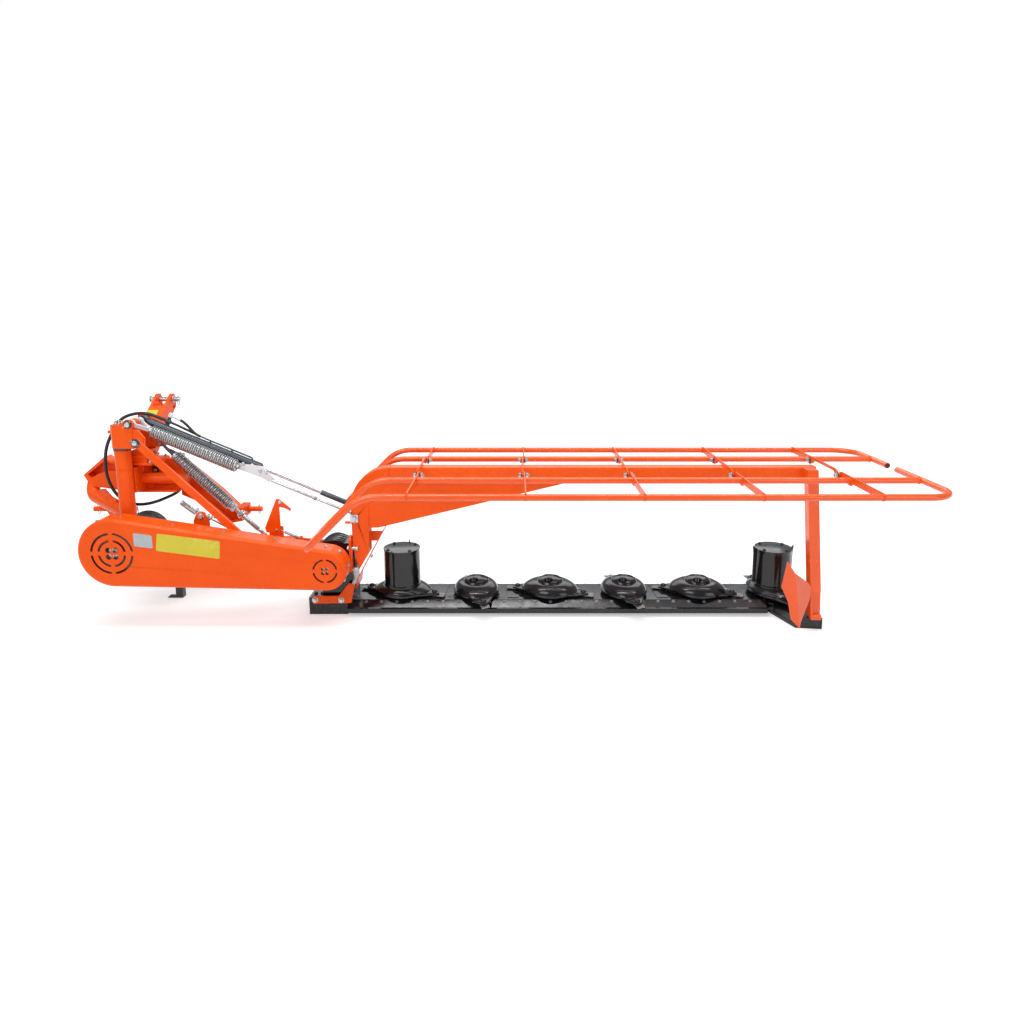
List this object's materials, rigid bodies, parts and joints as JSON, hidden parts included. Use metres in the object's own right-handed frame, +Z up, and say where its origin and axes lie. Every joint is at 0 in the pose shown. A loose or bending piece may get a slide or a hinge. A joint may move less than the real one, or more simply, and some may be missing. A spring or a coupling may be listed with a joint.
{
  "type": "rear-mounted disc mower",
  "caption": "Tractor-mounted disc mower with a belt-driven cutter bar, folding guard frames, lift strut and stand.",
  "frame": {"origin": "on the ground, under the middle of the whole machine's box", "axes": "+X along the cutter bar to its outer end, +Y forwards to the tractor, +Z up"},
  "size_m": [4.317, 1.098, 1.132],
  "materials": {
    "orange_paint": "gloss",
    "black_paint": "gloss",
    "zinc": "satin",
    "cylinder_paint": "satin",
    "belt_rubber": "matt",
    "black_plastic": "matt",
    "grey_paint": "satin",
    "cast": "as cast"
  },
  "bodies": {
    "headstock": {"hitch_frame": "orange_paint", "lower_link_pins": "orange_paint", "mast": "orange_paint", "top_link_pin": "zinc", "post_sleeve": "orange_paint", "hose_lower": "belt_rubber", "hose_coupler": "zinc"},
    "arm": {"head_bracket": "orange_paint", "upper_pin": "zinc", "arm_beam": "orange_paint", "brace": "orange_paint", "float_spring": "zinc", "breakaway_link": "orange_paint", "belt_cover": "orange_paint", "cover_back": "orange_paint", "belts": "belt_rubber", "pto_shield": "black_plastic", "stand_socket": "orange_paint", "latch_spring": "zinc", "hose_upper": "belt_rubber", "hose_connector": "zinc"},
    "drive": {"input_shaft": "zinc", "drive_pulley": "cast"},
    "driven": {"driven_shaft": "zinc", "driven_pulley": "cast"},
    "stand": {"stand_leg": "grey_paint"},
    "latch": {"latch_hook": "orange_paint"},
    "strut": {"cylinder_barrel": "cylinder_paint", "lift_spring": "zinc", "link_plate": "zinc"},
    "strut_rod": {"strut_rods": "zinc"},
    "cutter": {"cutter_bar": "black_paint", "bar_skids": "black_paint", "inner_shoe": "black_paint", "foot_bracket": "orange_paint", "outer_shoe": "black_paint", "gearbox": "black_paint", "guard_beam": "orange_paint", "tower": "orange_paint", "tower_gussets": "orange_paint", "guard_brackets": "orange_paint", "tower_pin": "zinc", "outer_post": "orange_paint", "divider_plate": "orange_paint", "deflector": "orange_paint"},
    "rear_guard": {"rear_hoop": "orange_paint", "rear_guard_bars": "orange_paint"},
    "front_guard": {"front_hoop": "orange_paint", "front_guard_bars": "orange_paint"},
    "disc1": {"disc_1": "black_paint", "drum_inner": "black_paint"},
    "disc2": {"disc_2": "black_paint"},
    "disc3": {"disc_3": "black_paint"},
    "disc4": {"disc_4": "black_paint"},
    "disc5": {"disc_5": "black_paint"},
    "disc6": {"disc_6": "black_paint", "drum_outer": "black_paint"}
  },
  "joints": [
    {"name": "breakaway_swing", "type": "hinge", "parent": "headstock", "child": "arm", "pos_m": [-1.765, 0.07, 0.69], "axis": [0, 0, -1], "range_deg": [0, 25]},
    {"name": "input_spin", "type": "hinge", "parent": "arm", "child": "drive", "pos_m": [-1.765, 0, 0.405], "axis": [0, 1, 0], "continuous": true},
    {"name": "driven_spin", "type": "hinge", "parent": "arm", "child": "driven", "pos_m": [-0.715, 0, 0.313], "axis": [0, 1, 0], "continuous": true},
    {"name": "stand_slide", "type": "slide", "parent": "arm", "child": "stand", "axis": [0, 0, 1], "range_m": [0, 0.14]},
    {"name": "latch_swing", "type": "hinge", "parent": "arm", "child": "latch", "pos_m": [-1.017, 0.106, 0.455], "axis": [0, -1, 0], "range_deg": [0, 25], "stiffness_Nm_per_rad": 6, "springref_deg": -17.19},
    {"name": "bar_lift", "type": "hinge", "parent": "arm", "child": "cutter", "pos_m": [-0.715, 0.1, 0.313], "axis": [0, -1, 0], "range_deg": [-15, 88]},
    {"name": "strut_swing", "type": "hinge", "parent": "arm", "child": "strut", "pos_m": [-1.703, 0.16, 1.028], "axis": [0, 1, 0], "range_deg": [-3.5, 15.5]},
    {"name": "strut_slide", "type": "slide", "parent": "strut", "child": "strut_rod", "axis": [0.9185, 0, -0.3954], "range_m": [-0.27, 0.055]},
    {"name": "rear_guard_fold", "type": "hinge", "parent": "cutter", "child": "rear_guard", "pos_m": [0.78, -0.105, 0.8], "axis": [-1, 0, 0], "range_deg": [0, 90]},
    {"name": "front_guard_fold", "type": "hinge", "parent": "cutter", "child": "front_guard", "pos_m": [0.78, 0.25, 0.8], "axis": [1, 0, 0], "range_deg": [0, 90]},
    {"name": "disc_1_spin", "type": "hinge", "parent": "cutter", "child": "disc1", "pos_m": [-0.38, 0.195, 0.09], "axis": [0, 0, 1], "continuous": true},
    {"name": "disc_2_spin", "type": "hinge", "parent": "cutter", "child": "disc2", "pos_m": [0.02, 0.195, 0.09], "axis": [0, 0, 1], "continuous": true},
    {"name": "disc_3_spin", "type": "hinge", "parent": "cutter", "child": "disc3", "pos_m": [0.42, 0.195, 0.09], "axis": [0, 0, 1], "continuous": true},
    {"name": "disc_4_spin", "type": "hinge", "parent": "cutter", "child": "disc4", "pos_m": [0.82, 0.195, 0.09], "axis": [0, 0, 1], "continuous": true},
    {"name": "disc_5_spin", "type": "hinge", "parent": "cutter", "child": "disc5", "pos_m": [1.22, 0.195, 0.09], "axis": [0, 0, 1], "continuous": true},
    {"name": "disc_6_spin", "type": "hinge", "parent": "cutter", "child": "disc6", "pos_m": [1.62, 0.195, 0.09], "axis": [0, 0, 1], "continuous": true}
  ],
  "couplings": [
    {"joint": "driven_spin", "follows": "input_spin", "ratio": 1.8667},
    {"joint": "strut_swing", "follows": "bar_lift", "ratio": 0.1602},
    {"joint": "strut_slide", "follows": "bar_lift", "m_per_rad": -0.1692},
    {"joint": "disc_2_spin", "follows": "disc_1_spin", "ratio": -1},
    {"joint": "disc_3_spin", "follows": "disc_1_spin", "ratio": 1},
    {"joint": "disc_4_spin", "follows": "disc_1_spin", "ratio": -1},
    {"joint": "disc_5_spin", "follows": "disc_1_spin", "ratio": 1},
    {"joint": "disc_6_spin", "follows": "disc_1_spin", "ratio": -1}
  ]
}
